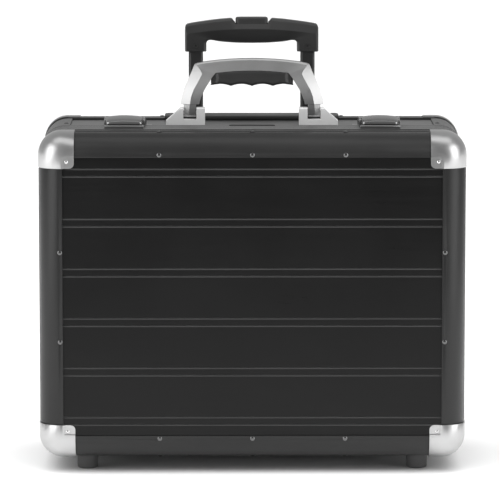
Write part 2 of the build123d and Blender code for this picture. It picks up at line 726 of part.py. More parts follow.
# half outline of the handle, from the pivot's height: outer side, then inner side
arch_corner, arch_outer, arch_foot = (61, 55.0), ((72.3, 34.5), (78.1, 17.4)), (79.8, 9.2)
bar_end, arch_inner, arm_foot = (40.3, 44.4), ((46.1, 34.5), (54.1, 17.4)), (58.1, 9.2)
arch_bow, bar_bow = 350, 340


def across(point):
    """The same point on the other arm."""
    return (-point[0], point[1])


with BuildPart() as handle_arch:
    face = Plane(origin=(0, hinge_y - handle_thickness / 2, hinge_z), x_dir=(1, 0, 0), z_dir=(0, -1, 0))
    with BuildSketch(face):
        with BuildLine():
            RadiusArc(across(arch_corner), arch_corner, arch_bow)
            Spline(arch_corner, *arch_outer, arch_foot)
            Line(arch_foot, arm_foot)
            Spline(arm_foot, *arch_inner[::-1], bar_end)
            RadiusArc(bar_end, across(bar_end), -bar_bow)
            Spline(across(bar_end), *[across(p) for p in arch_inner], across(arm_foot))
            Line(across(arm_foot), across(arch_foot))
            Spline(across(arch_foot), *[across(p) for p in arch_outer[::-1]], across(arch_corner))
        make_face()
    extrude(amount=-handle_thickness)
    for side in (-1, 1):
        with BuildSketch(Plane.YZ.offset(side * (tongue_inner + tongue_outer) / 2)):
            with Locations((hinge_y, hinge_z)):
                Circle(tongue_radius)
                Rectangle(2 * tongue_radius, arch_foot[1] + 1, align=(Align.CENTER, Align.MIN))
        extrude(amount=(tongue_outer - tongue_inner) / 2, both=True)
    with BuildSketch(Plane.YZ.offset(-half_width)):
        with Locations((hinge_y, hinge_z)):
            Circle(pivot_radius + running_gap)
    extrude(amount=case_width, mode=Mode.SUBTRACT)
save(handle_arch, "handle_arch")

finger_pitch, finger_rise, grip_low, grip_gap = 23.4, 2.9, 29.8, 0.3
grip_corner = (bar_end[0] - grip_gap, bar_end[1] - grip_gap)
grip_side = (2 * finger_pitch - grip_gap, grip_low + finger_rise)
cusps = [grip_side, (finger_pitch, grip_low), (0, grip_low), (-finger_pitch, grip_low), across(grip_side)]
with BuildPart() as handle_grip:
    face = Plane(origin=(0, hinge_y - handle_grip_thickness / 2, hinge_z), x_dir=(1, 0, 0),
                 z_dir=(0, -1, 0))
    with BuildSketch(face):
        with BuildLine():
            RadiusArc(across(grip_corner), grip_corner, bar_bow)
            Line(grip_corner, grip_side)
            for finger, (start, end) in enumerate(zip(cusps, cusps[1:])):
                hollow = ((1.5 - finger) * finger_pitch, grip_low + finger_rise + 0.4)
                ThreePointArc(start, hollow, end)
            Line(across(grip_side), across(grip_corner))
        make_face()
    extrude(amount=-handle_grip_thickness)
save(handle_grip, "handle_grip")

with BuildPart() as centre_plate:
    with BuildSketch(Plane.XY.offset(top)):
        Polygon((-plate_front_half, front + plate_start), (plate_front_half, front + plate_start),
                (plate_back_half, front + plate_end), (-plate_back_half, front + plate_end), align=None)
    extrude(amount=plate_thickness)
save(centre_plate, "centre_plate")

# ---------------------------------------------------------------- trolley


def tube_pair(size, wall, low, high):
    """Two rectangular tubes standing at the trolley's two legs."""
    with BuildPart() as pair:
        with BuildSketch(Plane.XY.offset(low)):
            with Locations((-tube_x, front + trolley_depth), (tube_x, front + trolley_depth)):
                RectangleRounded(size[0], size[1], 3)
                RectangleRounded(size[0] - 2 * wall, size[1] - 2 * wall, 2, mode=Mode.SUBTRACT)
        extrude(amount=high - low)
    return pair


save(tube_pair(outer_tube, tube_wall_outer, bottom + 12, top - throat_depth - 0.1),
     "trolley_outer_tubes")
save(tube_pair(mid_tube, tube_wall_mid, bottom + 22, top + bezel_rise - 0.8), "trolley_mid_tubes")
save(tube_pair(inner_tube, tube_wall_inner, bottom + 95, top + grip_foot + socket_depth - 1),
     "trolley_inner_tubes")

with BuildPart() as trolley_bracket:
    with BuildSketch(Plane.XY.offset(bottom + side_outset + side_thickness + 0.05)):
        with Locations((0, front + trolley_depth)):
            RectangleRounded(bracket_length, outer_tube[1] + 6, 5)
    extrude(amount=bracket_height)
save(trolley_bracket, "trolley_bracket")

with BuildPart() as trolley_bezel:
    with BuildSketch(Plane.XY.offset(top + corner_gap)):
        with Locations((0, front + trolley_depth)):
            RectangleRounded(2 * bezel_half_width, bezel_end - bezel_start, 6)
    extrude(amount=bezel_rise - corner_gap)
    fillet(trolley_bezel.edges().group_by(Axis.Z)[-1], 1.6)
    with BuildSketch(Plane.XY.offset(top + corner_gap)):
        with Locations((0, front + trolley_depth)):
            Rectangle(throat_width - 2 * throat_gap, throat_length - 2 * throat_gap)
    extrude(amount=-throat_depth - corner_gap)
    with BuildSketch(Plane.XY.offset(top - throat_depth)):
        with Locations((-tube_x, front + trolley_depth), (tube_x, front + trolley_depth)):
            RectangleRounded(mid_tube[0] + 2 * throat_gap, mid_tube[1] + 2 * throat_gap, 3.2)
    extrude(amount=throat_depth + 10, mode=Mode.SUBTRACT)
save(trolley_bezel, "trolley_bezel")

with BuildPart() as trolley_grip:
    face = Plane(origin=(0, front + trolley_depth - grip_depth / 2, top), x_dir=(1, 0, 0),
                 z_dir=(0, -1, 0))
    with BuildSketch(face) as outline:
        with BuildLine():
            RadiusArc((-grip_outer, grip_ends), (grip_outer, grip_ends), grip_bow)
            under, shoulder = (0, grip_underside), (36, grip_underside_quarter)
            armpit, foot = (grip_inner, grip_underside_end), (grip_inner, grip_foot)
            Polyline((grip_outer, grip_ends), (grip_outer, grip_foot), foot, armpit)
            Spline(armpit, shoulder, under, across(shoulder), across(armpit))
            Polyline(across(armpit), across(foot), (-grip_outer, grip_foot), (-grip_outer, grip_ends))
        make_face()
        fillet(outline.vertices().group_by(Axis.Y)[-1], 4)
        fillet(outline.vertices().group_by(Axis.Y)[0], 1.8)
    extrude(amount=-grip_depth)
    with BuildSketch(face):
        Polygon((-notch_outer, grip_top + 2), (notch_outer, grip_top + 2),
                (notch_inner, grip_top - notch_depth), (-notch_inner, grip_top - notch_depth), align=None)
    extrude(amount=-grip_depth, mode=Mode.SUBTRACT)
    with BuildSketch(Plane.XY.offset(top + grip_top + 5)):
        with Locations((0, front + trolley_depth)):
            Rectangle(2 * (button_half_width + button_gap), 2 * (button_half_depth + button_gap))
    extrude(amount=-5 - button_height - button_travel, mode=Mode.SUBTRACT)
    with BuildSketch(Plane.XY.offset(top + grip_foot - 1)):
        with Locations((-tube_x, front + trolley_depth), (tube_x, front + trolley_depth)):
            RectangleRounded(inner_tube[0] + 2 * running_gap, inner_tube[1] + 2 * running_gap, 3)
    extrude(amount=socket_depth + 0.1, mode=Mode.SUBTRACT)
    for x in (-tube_x, tube_x):
        with BuildSketch(face_plane(x, top + grip_screw_rise, face.origin.Y, -1)):
            Circle(grip_screw_radius + 0.2)
        extrude(amount=-screw_sunk, mode=Mode.SUBTRACT)
save(trolley_grip, "trolley_grip")

with BuildPart() as trolley_grip_screws:
    for x in (-tube_x, tube_x):
        with BuildSketch(face_plane(x, top + grip_screw_rise, face.origin.Y + screw_sunk, -1)):
            Circle(grip_screw_radius)
            RegularPolygon(grip_screw_radius / 2, 6, mode=Mode.SUBTRACT)
        extrude(amount=screw_head)
save(trolley_grip_screws, "trolley_grip_screws")

with BuildPart() as trolley_button:
    with BuildSketch(Plane.XY.offset(top + grip_top + button_proud - button_height)):
        with Locations((0, front + trolley_depth)):
            RectangleRounded(2 * button_half_width, 2 * button_half_depth, 2)
    extrude(amount=button_height)
    fillet(trolley_button.edges().group_by(Axis.Z)[-1], 1.2)
save(trolley_button, "trolley_button")
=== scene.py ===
import json
import math

import bmesh
import bpy
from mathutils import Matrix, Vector


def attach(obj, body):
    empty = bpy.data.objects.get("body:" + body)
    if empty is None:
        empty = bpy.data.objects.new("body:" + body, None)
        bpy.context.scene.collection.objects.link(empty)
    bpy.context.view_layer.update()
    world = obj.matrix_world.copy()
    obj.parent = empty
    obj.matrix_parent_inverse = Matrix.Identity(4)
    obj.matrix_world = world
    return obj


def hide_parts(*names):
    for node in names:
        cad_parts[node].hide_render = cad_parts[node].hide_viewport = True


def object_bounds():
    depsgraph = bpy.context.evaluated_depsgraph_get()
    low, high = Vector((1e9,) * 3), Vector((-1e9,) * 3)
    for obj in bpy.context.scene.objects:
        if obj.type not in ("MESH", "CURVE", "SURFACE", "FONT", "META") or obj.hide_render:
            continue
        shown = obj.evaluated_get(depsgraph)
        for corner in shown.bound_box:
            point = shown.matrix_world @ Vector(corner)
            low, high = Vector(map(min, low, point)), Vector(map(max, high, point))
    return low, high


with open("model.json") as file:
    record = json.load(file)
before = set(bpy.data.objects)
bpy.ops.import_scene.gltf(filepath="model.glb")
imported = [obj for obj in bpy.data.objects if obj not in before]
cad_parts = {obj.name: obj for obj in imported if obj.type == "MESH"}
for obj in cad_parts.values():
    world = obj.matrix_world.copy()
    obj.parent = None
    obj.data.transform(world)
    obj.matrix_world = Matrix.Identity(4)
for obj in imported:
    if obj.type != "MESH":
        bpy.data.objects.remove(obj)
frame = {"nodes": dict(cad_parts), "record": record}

MM = 0.001
NODES = frame["nodes"]
CAD_LOW, CAD_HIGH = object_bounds()
SCENE = bpy.context.scene


# ---------------------------------------------------------------- materials

def material(name, colour, roughness, metallic=0.0, specular=0.5):
    made = bpy.data.materials.new(name)
    made.use_nodes = True
    shader = made.node_tree.nodes["Principled BSDF"]
    shader.inputs["Base Color"].default_value = (*colour, 1)
    shader.inputs["Roughness"].default_value = roughness
    shader.inputs["Metallic"].default_value = metallic
    shader.inputs["Specular IOR Level"].default_value = specular
    return made


class Graph:
    """Adds procedural detail to a material made above."""

    def __init__(self, made):
        self.tree = made.node_tree
        self.shader = self.tree.nodes["Principled BSDF"]
        self.place = self.tree.nodes.new("ShaderNodeTexCoord").outputs["Object"]
        self.height = None

    def node(self, kind, **values):
        made = self.tree.nodes.new(kind)
        for key, value in values.items():
            setattr(made, key, value)
        return made

    def link(self, a, b):
        self.tree.links.new(a, b)

    def stretched(self, scale):
        """Object coordinates scaled per axis, so that a pattern runs along the axis with the low scale."""
        mapping = self.node("ShaderNodeMapping")
        mapping.inputs["Scale"].default_value = scale
        self.link(self.place, mapping.inputs["Vector"])
        return mapping.outputs["Vector"]

    def noise(self, scale, detail=2.0, stretch=(1, 1, 1), roughness=0.5):
        made = self.node("ShaderNodeTexNoise")
        made.inputs["Scale"].default_value = scale
        made.inputs["Detail"].default_value = detail
        made.inputs["Roughness"].default_value = roughness
        self.link(self.stretched(stretch), made.inputs["Vector"])
        return made.outputs["Fac"]

    def cells(self, scale):
        made = self.node("ShaderNodeTexVoronoi", feature="F1")
        made.inputs["Scale"].default_value = scale
        self.link(self.place, made.inputs["Vector"])
        return made.outputs["Distance"]

    def wave(self, scale, direction):
        made = self.node("ShaderNodeTexWave", bands_direction=direction)
        made.inputs["Scale"].default_value = scale
        self.link(self.place, made.inputs["Vector"])
        return made.outputs["Fac"]

    def spread(self, source, low, high, from_low=0.3, from_high=0.7):
        """Map a value from one range to another."""
        made = self.node("ShaderNodeMapRange")
        made.inputs["From Min"].default_value = from_low
        made.inputs["From Max"].default_value = from_high
        made.inputs["To Min"].default_value = low
        made.inputs["To Max"].default_value = high
        self.link(source, made.inputs["Value"])
        return made.outputs["Result"]

    def colours(self, source, low, high, from_low=0.3, from_high=0.7):
        """Blend two colours by a value."""
        ramp = self.node("ShaderNodeValToRGB")
        ramp.color_ramp.elements[0].position = from_low
        ramp.color_ramp.elements[1].position = from_high
        ramp.color_ramp.elements[0].color = (*low, 1)
        ramp.color_ramp.elements[1].color = (*high, 1)
        self.link(source, ramp.inputs["Fac"])
        return ramp.outputs["Color"]

    def mix(self, factor, a, b):
        made = self.node("ShaderNodeMix", data_type="RGBA")
        self.link(factor, made.inputs["Factor"])
        self.link(a, made.inputs["A"])
        self.link(b, made.inputs["B"])
        return made.outputs["Result"]

    def math(self, operation, a, b):
        made = self.node("ShaderNodeMath", operation=operation)
        for k, value in enumerate((a, b)):
            if isinstance(value, (int, float)):
                made.inputs[k].default_value = value
            else:
                self.link(value, made.inputs[k])
        return made.outputs["Value"]

    def roughness(self, source):
        self.link(source, self.shader.inputs["Roughness"])

    def base(self, source):
        self.link(source, self.shader.inputs["Base Color"])

    def bump(self, source, depth, strength):
        """Add relief, in metres, on top of any relief made before."""
        made = self.node("ShaderNodeBump")
        made.inputs["Distance"].default_value = depth
        made.inputs["Strength"].default_value = strength
        self.link(source, made.inputs["Height"])
        if self.height is not None:
            self.link(self.height, made.inputs["Normal"])
        self.height = made.outputs["Normal"]
        self.link(self.height, self.shader.inputs["Normal"])


def grey(value):
    return (value, value, value)


def panel_black():
    """Black coated sheet with a painted highlight: a lighter base colour on the sloping faces of its grooves,
    where light from above would glint.
    """
    made = material("panel_black", grey(0.0035), 0.32, specular=0.26)
    g = Graph(made)
    streak = g.noise(260, 3, (0.03, 1, 1))
    blotch = g.noise(9, 3)
    axes = g.node("ShaderNodeSeparateXYZ")
    g.link(g.node("ShaderNodeTexCoord").outputs["Normal"], axes.inputs["Vector"])
    # painted highlight: faces that tilt up or down, such as the groove slopes, get a lighter base colour than
    # the flat sheet
    groove_slope_highlight = g.math("ABSOLUTE", axes.outputs["Z"], 0.0)
    g.base(g.mix(g.spread(groove_slope_highlight, 0, 1, 0.2, 0.5),
                 g.colours(blotch, grey(0.0024), grey(0.0040)),
                 g.colours(blotch, grey(0.042), grey(0.05))))
    g.roughness(g.math("ADD", g.spread(blotch, 0.29, 0.34), g.spread(streak, -0.03, 0.04)))
    g.bump(g.noise(1500, 2), 0.00003, 0.5)
    g.bump(streak, 0.00002, 0.5)
    return made


def anodised(name, value, roughness, stretch, metallic=0.0, specular=0.5):
    """Coated aluminium with faint draw marks."""
    made = material(name, grey(value), roughness, metallic, specular)
    g = Graph(made)
    drawn = g.noise(420, 3, stretch)
    blotch = g.noise(14, 3)
    g.base(g.colours(blotch, grey(value * 0.86), grey(value * 1.14)))
    g.roughness(g.math("ADD", g.spread(drawn, roughness - 0.04, roughness + 0.05),
                       g.spread(blotch, -0.03, 0.03)))
    g.bump(drawn, 0.00002, 0.4)
    return made


def metal(name, value, roughness, depth=0.00001, stretch=(1, 1, 1)):
    """Bare or plated metal with a fine grain and slight stains."""
    grain = 900
    made = material(name, grey(value), roughness, 1.0)
    g = Graph(made)
    fine = g.noise(grain, 3, stretch)
    blotch = g.noise(22, 4)
    g.base(g.colours(blotch, grey(value * 0.9), grey(value * 1.06)))
    g.roughness(g.math("ADD", g.spread(blotch, roughness - 0.03, roughness + 0.05),
                       g.spread(fine, -0.008, 0.008)))
    g.bump(fine, depth, 0.5)
    return made


def moulded(name, value, roughness):
    """Plastic or rubber with a pebbled mould texture."""
    cell, depth = 900, 0.00005
    made = material(name, grey(value), roughness)
    g = Graph(made)
    blotch = g.noise(16, 3)
    g.base(g.colours(blotch, grey(value * 0.85), grey(value * 1.2)))
    g.roughness(g.spread(blotch, roughness - 0.05, roughness + 0.06))
    g.bump(g.cells(cell), depth, 0.6)
    g.bump(g.noise(cell * 0.6, 3), depth * 0.6, 0.4)
    return made


def woven(name, value):
    """Lining cloth: threads across and along every face, at the same spacing."""
    threads = 560
    made = material(name, grey(value), 0.86, specular=0.25)
    made.node_tree.nodes["Principled BSDF"].inputs["Sheen Weight"].default_value = 0.35
    g = Graph(made)
    across = g.wave(threads, "X")
    along = g.wave(threads, "Z")
    depthwise = g.wave(threads, "Y")
    weave = g.math("MULTIPLY", g.math("ADD", across, depthwise), g.math("ADD", along, depthwise))
    blotch = g.noise(30, 4)
    g.base(g.mix(g.spread(weave, 0, 1, 0.2, 2.4),
                 g.colours(blotch, grey(value * 0.6), grey(value * 0.8)),
                 g.colours(blotch, grey(value * 0.95), grey(value * 1.25))))
    g.bump(weave, 0.00025, 0.7)
    return made


FINISH = {
    "panel_black": panel_black(),
    "profile_black": anodised("profile_black", 0.014, 0.4, (1, 1, 1), specular=0.38),
    "side_grey": anodised("side_grey", 0.085, 0.4, (0.04, 1, 0.04), metallic=0.35),
    "corner_metal": metal("corner_metal", 0.56, 0.33, depth=0.000002),
    "rivet_black": metal("rivet_black", 0.15, 0.15, depth=0.0000001),
    "rivet_bright": metal("rivet_bright", 0.75, 0.16),
    "hinge_steel": metal("hinge_steel", 0.42, 0.32, stretch=(0.05, 1, 1)),
    "lining": woven("lining", 0.05),
    "foot_rubber": moulded("foot_rubber", 0.075, 0.7),
    "moulded_black": moulded("moulded_black", 0.022, 0.45),
    "axle_steel": metal("axle_steel", 0.55, 0.25),
    "tyre": moulded("tyre", 0.025, 0.62),
    "hub_grey": moulded("hub_grey", 0.12, 0.4),
    "latch_metal": metal("latch_metal", 0.34, 0.28, depth=0.0000001),
    "slider_dark": metal("slider_dark", 0.09, 0.3),
    "handle_metal": metal("handle_metal", 0.5, 0.34, depth=0.000001),
    "grip_black": moulded("grip_black", 0.018, 0.42),
    "tube_black": anodised("tube_black", 0.013, 0.36, (1, 1, 0.03)),
    "cast_satin": anodised("cast_satin", 0.66, 0.36, (1, 1, 1), metallic=0.3),
    "guard_grey": anodised("guard_grey", 0.075, 0.42, (0.04, 1, 0.04), metallic=0.35),
}

SLOT_OF_NODE = {part["node"]: part["material_slot"] for part in frame["record"]["subparts"]}


# ---------------------------------------------------------------- carried-over nodes

EDGE = 0.25     # usual edge rounding in mm

# nodes with softer edges
SOFTER = {"front_corners": 0.5, "rear_corners": 0.5, "handle_mount_left": 0.6, "handle_mount_right": 0.6,
          "latch_slider_left": 0.5, "latch_slider_right": 0.5}

# nodes with another finish than the rest of their slot
OWN_FINISH = {"handle_mount_left": "cast_satin", "handle_mount_right": "cast_satin",
              "trolley_grip_screws": "slider_dark", "body_side_corners": "guard_grey"}


def round_edges(thing, width, segments, angle):
    soft = thing.modifiers.new("edges", "BEVEL")
    soft.width = width * MM
    soft.segments = segments
    soft.limit_method = "ANGLE"
    soft.angle_limit = math.radians(angle)
    soft.harden_normals = True


def dress(node):
    """Give a CAD node its finish, with flat faces merged and sharp edges slightly rounded."""
    thing = NODES[node]
    thing.data.materials.clear()
    thing.data.materials.append(FINISH[OWN_FINISH.get(node, SLOT_OF_NODE[node])])
    weld = thing.modifiers.new("weld", "WELD")
    weld.merge_threshold = 0.00001
    flat = thing.modifiers.new("flat_faces", "DECIMATE")
    flat.decimate_type = "DISSOLVE"
    flat.angle_limit = math.radians(0.8)
    round_edges(thing, SOFTER.get(node, EDGE), 2, 32)


for node in NODES:
    dress(node)

# ---------------------------------------------------------------- mesh tools

FRONT = CAD_LOW.y + 0.0013      # the case's front face
TOP = 0.377                     # the case's top face


def deep(depth):
    """World Y, in metres, of a depth in mm behind the case's front face."""
    return FRONT + depth * MM


def make(name, points, faces, slot, body, replaced, smooth=True, bevel=0.0, segments=3, angle=30):
    """A closed piece from points in metres; it rides on a CAD body and stands for CAD nodes."""
    mesh = bpy.data.meshes.new(name)
    mesh.from_pydata([tuple(p) for p in points], [], faces)
    work = bmesh.new()
    work.from_mesh(mesh)
    bmesh.ops.remove_doubles(work, verts=work.verts, dist=0.000001)
    bmesh.ops.recalc_face_normals(work, faces=work.faces)
    work.to_mesh(mesh)
    work.free()
    piece = bpy.data.objects.new(name, mesh)
    SCENE.collection.objects.link(piece)
    mesh.materials.append(FINISH[slot])
    if smooth:
        mesh.polygons.foreach_set("use_smooth", [True] * len(mesh.polygons))
    if bevel:
        round_edges(piece, bevel, segments, angle)
    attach(piece, body)
    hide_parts(*replaced)
    return piece


def loft(rings):
    """Points and faces of a closed skin through rings of equal length."""
    count = len(rings[0])
    points = [p for ring in rings for p in ring]
    faces = []
    for i in range(len(rings) - 1):
        for k in range(count):
            n = (k + 1) % count
            faces.append((i * count + k, i * count + n, (i + 1) * count + n, (i + 1) * count + k))
    faces.append(tuple(range(count))[::-1])
    faces.append(tuple(range((len(rings) - 1) * count, len(rings) * count)))
    return points, faces


# ---------------------------------------------------------------- front panel

MIDDLE = 197.0          # height of the case's middle, in mm
GROOVE_PITCH, GROOVE_OFFSET = 55.0, 4.15
GROOVES = [MIDDLE + GROOVE_PITCH * (k - 2.5) + offset for k in range(6)
           for offset in (-GROOVE_OFFSET, GROOVE_OFFSET)]


def front_panel():
    """Sheet with pressed grooves: a steep upper side and a wide lower one that catches the light."""
    half_x, half_z, face, back = 214.0, 160.0, 2.0, 4.0
    lower_edge, bottom, upper_edge, groove_depth = -1.25, 0.1, 0.65, 0.95
    section = [(MIDDLE - half_z, face)]
    for groove in GROOVES:
        section += [(groove + lower_edge, face), (groove + bottom, face + groove_depth)]
        section += [(groove + upper_edge, face)]
    section += [(MIDDLE + half_z, face), (MIDDLE + half_z, back), (MIDDLE, back), (MIDDLE - half_z, back)]
    rings = [[Vector((x * MM, deep(depth), z * MM)) for z, depth in section] for x in (-half_x, half_x)]
    points, faces = loft(rings)
    make("front_panel_sheet", points, faces, "panel_black", "lid", ["front_panel"], smooth=False)


front_panel()

# ---------------------------------------------------------------- carry handle

PIVOT_Y, PIVOT_Z = deep(106.6), TOP + 0.0138

# the right half of the handle from the middle of the bar to the tongue, in mm from the pivot:
# outer line, crease, inner line, how far outer, crease and inner lines lie behind the front face,
# and the half thickness there
ARCH = [
    ((0, 60.3), (0, 58.6), (0, 46.8), 1.6, 0.0, 0.3, 6.0),
    ((12, 60.1), (12, 58.4), (9, 46.7), 1.6, 0.0, 0.3, 6.0),
    ((26, 59.4), (26, 57.7), (19, 46.3), 1.6, 0.0, 0.3, 6.0),
    ((40, 58.2), (40, 56.5), (29, 45.6), 1.6, 0.0, 0.3, 6.0),
    ((52, 56.7), (51.6, 55.0), (37, 44.7), 1.7, 0.0, 0.4, 6.0),
    ((60.4, 55.2), (59.6, 53.4), (39.6, 44.45), 1.9, 0.0, 0.5, 6.0),
    ((63.6, 53.9), (61.4, 52.4), (40.2, 44.35), 2.4, 0.0, 0.6, 6.0),
    ((65.3, 50.6), (59.4, 50.0), (40.9, 43.9), 3.6, 0.0, 0.8, 6.0),
    ((66.8, 46.6), (57.0, 46.6), (41.9, 42.6), 4.4, 0.0, 1.0, 6.0),
    ((68.4, 43.0), (55.4, 43.2), (43.4, 40.6), 4.7, 0.0, 1.1, 6.0),
    ((70.4, 38.8), (57.8, 38.2), (45.6, 37.4), 4.7, 0.0, 1.2, 6.0),
    ((72.9, 32.6), (61.4, 32.0), (48.6, 32.4), 4.8, 0.0, 1.3, 6.0),
    ((75.6, 26.0), (64.9, 25.6), (52.6, 26.0), 4.8, 0.0, 1.4, 6.0),
    ((78.1, 17.4), (67.9, 17.4), (56.6, 17.4), 4.8, 0.0, 1.4, 6.0),
    ((79.3, 12.0), (68.8, 11.6), (58.4, 11.6), 4.6, 0.0, 1.4, 6.0),
    ((79.8, 9.2), (69.2, 9.0), (58.9, 9.2), 4.4, 0.0, 1.4, 6.0),
    ((76.3, 8.9), (69.3, 8.6), (62.7, 8.9), 3.0, 0.2, 1.2, 5.8),
    ((76.2, 6.0), (69.6, 6.0), (62.7, 6.0), 2.8, 0.2, 1.0, 5.6),
    ((76.2, 0.0), (70.0, 0.0), (62.7, 0.0), 2.7, 0.2, 1.0, 5.4),
    ((76.2, -3.4), (70.0, -3.4), (62.7, -3.4), 3.4, 1.0, 1.4, 5.2),
    ((76.2, -5.0), (70.0, -5.0), (62.7, -5.0), 3.6, 2.8, 2.8, 5.2),
]


def arch_ring(side, station):
    """Section of the arch: its three lines in front and then at the back."""
    outer, crease, inner, *back, half = station
    ring = []
    for facing in (-1, 1):
        row = [Vector((side * x * MM, PIVOT_Y + facing * (half - drop) * MM, PIVOT_Z + z * MM))
               for (x, z), drop in zip((outer, crease, inner), back)]
        ring += row if facing < 0 else row[::-1]
    return ring


arch_rings = [arch_ring(-1, station) for station in ARCH[::-1]]
arch_rings += [arch_ring(1, station) for station in ARCH[1:]]
points, faces = loft(arch_rings)
make("carry_handle_arch", points, faces, "handle_metal", "carry_handle", ["handle_arch"],
     bevel=0.45, segments=3, angle=14)


def rounded(angle, power):
    """A point of a rounded rectangle of half size 1: the lower the power, the squarer it is."""
    c, s = math.cos(angle), math.sin(angle)
    return math.copysign(abs(c) ** power, c), math.copysign(abs(s) ** power, s)


def ramp(value, start, length):
    """0 up to start, and 1 a length further on."""
    return max(0.0, min(1.0, (value - start) / length))


def grip_ring(x, low, high, half):
    """Section of the finger grip: near the ends it leans, so that the bottom reaches further out."""
    count, lean_from, lean_length, lean_slope = 24, 32.0, 10.4, 0.4
    middle, tall = (low + high) / 2, (high - low) / 2
    ring = []
    for k in range(count):
        across, up = rounded(2 * math.pi * k / count, 0.5)
        y = across * half
        z = up * tall + middle
        lean = math.copysign((middle - z) * lean_slope * max(0.0, (abs(x) - lean_from) / lean_length), x)
        ring.append(Vector(((x + lean) * MM, PIVOT_Y + y * MM, PIVOT_Z + z * MM)))
    return ring


def carry_grip():
    """Finger grip: scallops with cusps between them, and narrow ends that go into the arch."""
    pitch, rise, low, high, crown = 23.4, 2.5, 29.2, 47.4, 2.4
    half_length, bow_length, fall = 43.2, 42.0, 1.4
    half_depth, waist, neck, neck_from, neck_length = 6.9, 0.35, 2.7, 37.0, 2.5
    cusp = 0.25
    ends = 1.5 * pitch
    fall_length = 42.4 - ends
    count = 73
    rings = []
    for k in range(count):
        x = -half_length + 2 * half_length * k / (count - 1)
        phase = (x / pitch) % 1.0
        arch = math.sqrt(max(0.0, 1 - (2 * phase - 1) ** 2))
        swing = math.sin(math.pi * phase)
        bottom = low + rise * (cusp * arch + (1 - cusp) * swing)
        if abs(x) > ends:
            bottom = max(bottom, low + rise) - fall * (abs(x) - ends) / fall_length
        top = high - crown * (x / bow_length) ** 2
        half = half_depth - waist * swing - neck * ramp(abs(x), neck_from, neck_length)
        rings.append(grip_ring(x, bottom, top, half))
    points, faces = loft(rings)
    make("carry_handle_grip", points, faces, "grip_black", "carry_handle", ["handle_grip"],
         bevel=0.8, segments=3, angle=50)


carry_grip()

# ---------------------------------------------------------------- trolley grip

GRIP_Y = deep(187.0)

# right half of the trolley grip, from the leg's foot to the middle of the bar, in mm above the case:
# outer line, crease, inner line
BAIL = [
    ((75.3, 75.7), (73.6, 75.7), (51.3, 75.7)),
    ((75.6, 77.0), (73.6, 77.0), (51.3, 77.0)),
    ((75.6, 84.0), (73.6, 83.0), (51.3, 81.0)),
    ((75.6, 92.0), (73.6, 89.0), (51.3, 84.6)),
    ((75.6, 99.0), (73.5, 93.2), (50.9, 86.6)),
    ((75.5, 103.0), (72.8, 95.2), (49.8, 88.0)),
    ((74.7, 105.2), (71.4, 95.9), (48.0, 88.6)),
    ((73.0, 106.4), (69.0, 96.3), (45.4, 88.6)),
    ((70.0, 107.2), (65.0, 96.9), (42.4, 88.1)),
    ((60.0, 108.9), (56.0, 98.2), (38.0, 87.1)),
    ((48.0, 110.6), (45.0, 99.5), (33.0, 86.5)),
    ((36.0, 112.0), (34.0, 100.4), (26.0, 86.0)),
    ((26.0, 112.8), (25.0, 100.9), (20.0, 85.6)),
    ((23.0, 113.0), (22.4, 101.0), (18.0, 85.5)),
    ((22.0, 112.2), (21.6, 101.1), (17.2, 85.45)),
    ((19.6, 109.2), (19.4, 101.2), (15.6, 85.4)),
    ((19.0, 109.0), (18.8, 101.2), (15.0, 85.4)),
    ((10.0, 109.0), (10.0, 101.4), (8.0, 85.25)),
    ((0.0, 109.0), (0.0, 101.5), (0.0, 85.2)),
]


def bail_ring(side, station):
    """Outer edge, upper face, crease, lower face and inner edge, front and then back.

    A row is a line's x and z, and how far it lies behind the crease; the bar is the more rounded.
    """
    (ox, oz), (cx, cz), (ix, iz) = station
    leg = ramp(abs(cx), 60.0, 13.0)
    bulge = 1.0 - leg
    rows = [((ox, oz), 5.4 - 2.0 * leg), ((ox * 0.8 + cx * 0.2, oz * 0.8 + cz * 0.2), 3.3 - 1.4 * leg),
            ((cx, cz), 0.0), ((cx * 0.5 + ix * 0.5, cz * 0.5 + iz * 0.5), 1.0 + 1.4 * bulge),
            ((cx * 0.12 + ix * 0.88, cz * 0.12 + iz * 0.88), 1.6 + 2.8 * bulge),
            ((ix, iz), 3.4 + 3.2 * bulge)]
    ring = []
    for facing in (-1, 1):
        row = [Vector((side * x * MM, GRIP_Y + facing * (12.5 - drop) * MM, TOP + z * MM))
               for (x, z), drop in rows]
        ring += row if facing < 0 else row[::-1]
    return ring


def cut_box(piece, low, high):
    """Cut a box out of a piece and keep the result as its mesh."""
    corners = [(x, y, z) for x in (low[0], high[0]) for y in (low[1], high[1]) for z in (low[2], high[2])]
    mesh = bpy.data.meshes.new("cutter")
    mesh.from_pydata(corners, [], [(0, 1, 3, 2), (4, 6, 7, 5), (0, 4, 5, 1), (2, 3, 7, 6), (0, 2, 6, 4),
                                   (1, 5, 7, 3)])
    cutter = bpy.data.objects.new("cutter", mesh)
    SCENE.collection.objects.link(cutter)
    cut = piece.modifiers.new("cut", "BOOLEAN")
    cut.object = cutter
    cut.operation = "DIFFERENCE"
    cut.solver = "EXACT"
    bpy.context.view_layer.update()
    shown = piece.evaluated_get(bpy.context.evaluated_depsgraph_get())
    made = bpy.data.meshes.new_from_object(shown)
    piece.modifiers.clear()
    piece.data = made
    bpy.data.objects.remove(cutter)


bail_rings = [bail_ring(1, station) for station in BAIL]
bail_rings += [bail_ring(-1, station) for station in BAIL[-2::-1]]
points, faces = loft(bail_rings)
bail = make("trolley_grip_body", points, faces, "grip_black", "trolley_inner", ["trolley_grip"],
            bevel=0.9, segments=3, angle=22)

